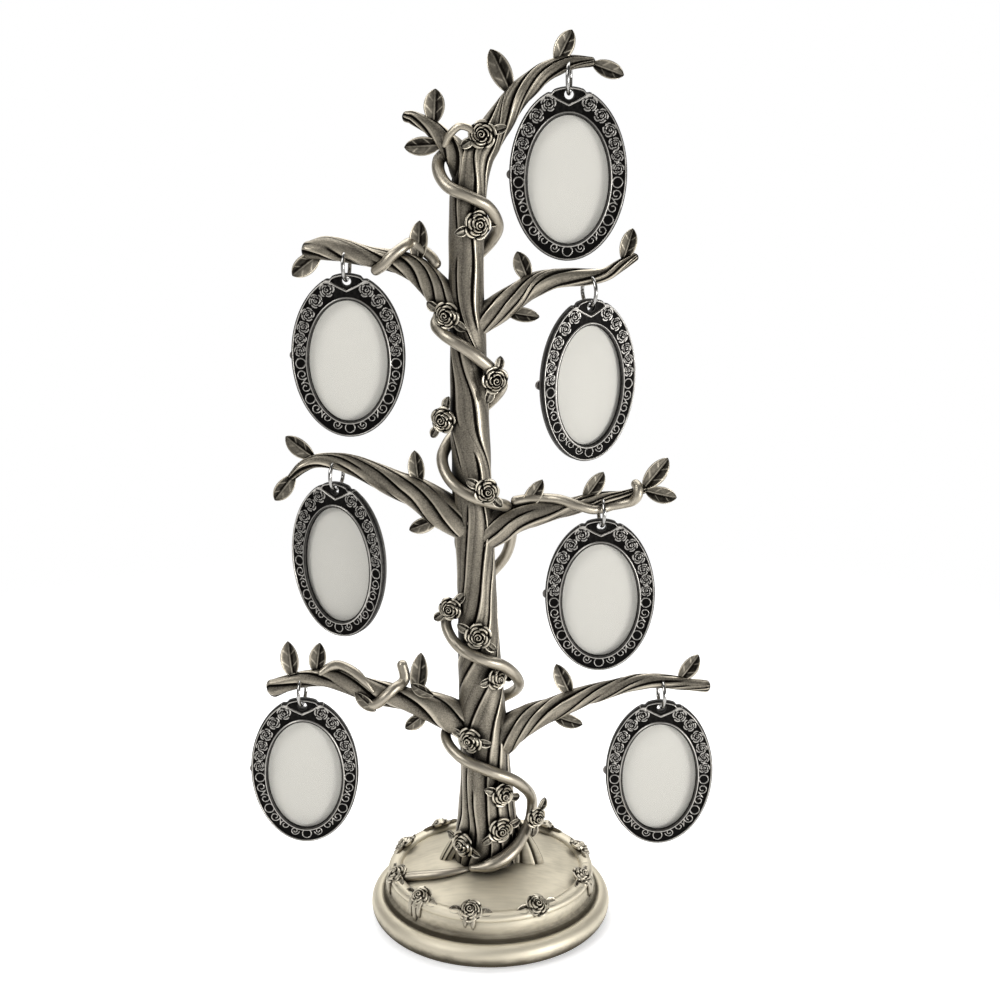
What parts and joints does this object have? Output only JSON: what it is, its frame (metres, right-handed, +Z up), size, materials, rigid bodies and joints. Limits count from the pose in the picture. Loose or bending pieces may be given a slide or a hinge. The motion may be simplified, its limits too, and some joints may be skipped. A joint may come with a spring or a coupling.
{
  "type": "photo tree stand",
  "caption": "Tabletop tree stand in cast metal on a round foot, with a climbing rose vine, leaves and oval picture frames that hang from split rings in its branches.",
  "frame": {"origin": "centre of the underside of the foot, on the face of the felt pad", "axes": "+Z up the trunk, +X to the right and -Y to the front as the picture sides of the frames face"},
  "size_m": [0.1753, 0.092, 0.327],
  "materials": {
    "foot_pewter": "satin antique pewter plate on a casting",
    "tree_pewter": "antique pewter, dark in the bark's grooves",
    "vine_pewter": "smooth antique pewter",
    "leaf_pewter": "antique pewter with worn bright veins",
    "rose_pewter": "antique pewter with dark recesses",
    "frame_pewter": "dark antique pewter with bright worn relief",
    "plate_pewter": "dull plated sheet",
    "ring_nickel": "bright nickel plate",
    "rivet_steel": "plain",
    "screw_steel": "zinc plated",
    "lens_plastic": "clear",
    "picture_card": "plain off-white card",
    "felt": "black felt"
  },
  "bodies": {
    "tree": {"base_shell": "foot_pewter", "felt_pad": "felt", "base_screw": "screw_steel", "trunk": "tree_pewter", "climbing_vine": "vine_pewter", "branch_top_right": "tree_pewter", "branch_upper_left": "tree_pewter", "branch_upper_right": "tree_pewter", "branch_middle_left": "tree_pewter", "branch_middle_right": "tree_pewter", "branch_lower_left": "tree_pewter", "branch_lower_right": "tree_pewter", "branch_tendrils": "vine_pewter", "branch_leaves": "leaf_pewter", "vine_roses": "rose_pewter", "base_garland": "vine_pewter", "base_roses": "rose_pewter"},
    "link_top_right": {"ring_top_right": "ring_nickel"},
    "frame_top_right": {"bezel_top_right": "frame_pewter", "lens_top_right": "lens_plastic", "picture_top_right": "picture_card", "rivet_top_right": "rivet_steel"},
    "plate_top_right": {"back_plate_top_right": "plate_pewter"},
    "link_upper_left": {"ring_upper_left": "ring_nickel"},
    "frame_upper_left": {"bezel_upper_left": "frame_pewter", "lens_upper_left": "lens_plastic", "picture_upper_left": "picture_card", "rivet_upper_left": "rivet_steel"},
    "plate_upper_left": {"back_plate_upper_left": "plate_pewter"},
    "link_upper_right": {"ring_upper_right": "ring_nickel"},
    "frame_upper_right": {"bezel_upper_right": "frame_pewter", "lens_upper_right": "lens_plastic", "picture_upper_right": "picture_card", "rivet_upper_right": "rivet_steel"},
    "plate_upper_right": {"back_plate_upper_right": "plate_pewter"},
    "link_middle_left": {"ring_middle_left": "ring_nickel"},
    "frame_middle_left": {"bezel_middle_left": "frame_pewter", "lens_middle_left": "lens_plastic", "picture_middle_left": "picture_card", "rivet_middle_left": "rivet_steel"},
    "plate_middle_left": {"back_plate_middle_left": "plate_pewter"},
    "link_middle_right": {"ring_middle_right": "ring_nickel"},
    "frame_middle_right": {"bezel_middle_right": "frame_pewter", "lens_middle_right": "lens_plastic", "picture_middle_right": "picture_card", "rivet_middle_right": "rivet_steel"},
    "plate_middle_right": {"back_plate_middle_right": "plate_pewter"},
    "link_lower_left": {"ring_lower_left": "ring_nickel"},
    "frame_lower_left": {"bezel_lower_left": "frame_pewter", "lens_lower_left": "lens_plastic", "picture_lower_left": "picture_card", "rivet_lower_left": "rivet_steel"},
    "plate_lower_left": {"back_plate_lower_left": "plate_pewter"},
    "link_lower_right": {"ring_lower_right": "ring_nickel"},
    "frame_lower_right": {"bezel_lower_right": "frame_pewter", "lens_lower_right": "lens_plastic", "picture_lower_right": "picture_card", "rivet_lower_right": "rivet_steel"},
    "plate_lower_right": {"back_plate_lower_right": "plate_pewter"}
  },
  "joints": [
    {"name": "ring_swing_top_right", "type": "hinge", "parent": "tree", "child": "link_top_right", "pos_m": [0.027, 0, 0.3114], "axis": [0.9903, -0.1392, 0], "range_deg": [-45, 45]},
    {"name": "frame_sway_top_right", "type": "hinge", "parent": "link_top_right", "child": "frame_top_right", "pos_m": [0.027, 0, 0.3062], "axis": [0.1392, 0.9903, 0], "range_deg": [-9, 3.5]},
    {"name": "plate_swivel_top_right", "type": "hinge", "parent": "frame_top_right", "child": "plate_top_right", "pos_m": [0.027, 0.0016, 0.30285], "axis": [0, 1, 0], "range_deg": [-32, 0]},
    {"name": "ring_swing_upper_left", "type": "hinge", "parent": "tree", "child": "link_upper_left", "pos_m": [-0.05, 0.00225, 0.2484], "axis": [0.9903, -0.1392, 0], "range_deg": [-45, 45]},
    {"name": "frame_sway_upper_left", "type": "hinge", "parent": "link_upper_left", "child": "frame_upper_left", "pos_m": [-0.05, 0.00225, 0.2432], "axis": [0.1392, 0.9903, 0], "range_deg": [-10, 10]},
    {"name": "plate_swivel_upper_left", "type": "hinge", "parent": "frame_upper_left", "child": "plate_upper_left", "pos_m": [-0.05, 0.00385, 0.23985], "axis": [0, 1, 0], "range_deg": [0, 32]},
    {"name": "ring_swing_upper_right", "type": "hinge", "parent": "tree", "child": "link_upper_right", "pos_m": [0.035, 0.00267, 0.2394], "axis": [0.9135, 0.4067, 0], "range_deg": [-45, 45]},
    {"name": "frame_sway_upper_right", "type": "hinge", "parent": "link_upper_right", "child": "frame_upper_right", "pos_m": [0.035, 0.00267, 0.2342], "axis": [-0.4067, 0.9135, 0], "range_deg": [-10, 10]},
    {"name": "plate_swivel_upper_right", "type": "hinge", "parent": "frame_upper_right", "child": "plate_upper_right", "pos_m": [0.03415, 0.00402, 0.23085], "axis": [-0.5299, 0.848, 0], "range_deg": [-32, 0]},
    {"name": "ring_swing_middle_left", "type": "hinge", "parent": "tree", "child": "link_middle_left", "pos_m": [-0.055, -0.002, 0.1741], "axis": [0.9336, -0.3584, 0], "range_deg": [-45, 45]},
    {"name": "frame_sway_middle_left", "type": "hinge", "parent": "link_middle_left", "child": "frame_middle_left", "pos_m": [-0.055, -0.002, 0.1689], "axis": [0.3584, 0.9336, 0], "range_deg": [-10, 10]},
    {"name": "plate_swivel_middle_left", "type": "hinge", "parent": "frame_middle_left", "child": "plate_middle_left", "pos_m": [-0.05422, -0.0006, 0.16555], "axis": [0.4848, 0.8746, 0], "range_deg": [0, 32]},
    {"name": "ring_swing_middle_right", "type": "hinge", "parent": "tree", "child": "link_middle_right", "pos_m": [0.0405, 0, 0.1598], "axis": [0.9903, 0.1392, 0], "range_deg": [-45, 45]},
    {"name": "frame_sway_middle_right", "type": "hinge", "parent": "link_middle_right", "child": "frame_middle_right", "pos_m": [0.0405, 0, 0.1546], "axis": [-0.1392, 0.9903, 0], "range_deg": [-10, 10]},
    {"name": "plate_swivel_middle_right", "type": "hinge", "parent": "frame_middle_right", "child": "plate_middle_right", "pos_m": [0.0405, 0.0016, 0.15125], "axis": [0, 1, 0], "range_deg": [-32, 0]},
    {"name": "ring_swing_lower_left", "type": "hinge", "parent": "tree", "child": "link_lower_left", "pos_m": [-0.07, -0.0035, 0.0914], "axis": [0.9903, -0.1392, 0], "range_deg": [-45, 45]},
    {"name": "frame_sway_lower_left", "type": "hinge", "parent": "link_lower_left", "child": "frame_lower_left", "pos_m": [-0.07, -0.0035, 0.0862], "axis": [0.1392, 0.9903, 0], "range_deg": [-10, 10]},
    {"name": "plate_swivel_lower_left", "type": "hinge", "parent": "frame_lower_left", "child": "plate_lower_left", "pos_m": [-0.07, -0.0019, 0.08285], "axis": [0, 1, 0], "range_deg": [0, 32]},
    {"name": "ring_swing_lower_right", "type": "hinge", "parent": "tree", "child": "link_lower_right", "pos_m": [0.064, -0.00178, 0.0898], "axis": [0.9903, 0.1392, 0], "range_deg": [-45, 45]},
    {"name": "frame_sway_lower_right", "type": "hinge", "parent": "link_lower_right", "child": "frame_lower_right", "pos_m": [0.064, -0.00178, 0.0846], "axis": [-0.1392, 0.9903, 0], "range_deg": [-10, 10]},
    {"name": "plate_swivel_lower_right", "type": "hinge", "parent": "frame_lower_right", "child": "plate_lower_right", "pos_m": [0.064, -0.00018, 0.08125], "axis": [0, 1, 0], "range_deg": [-32, 0]}
  ]
}
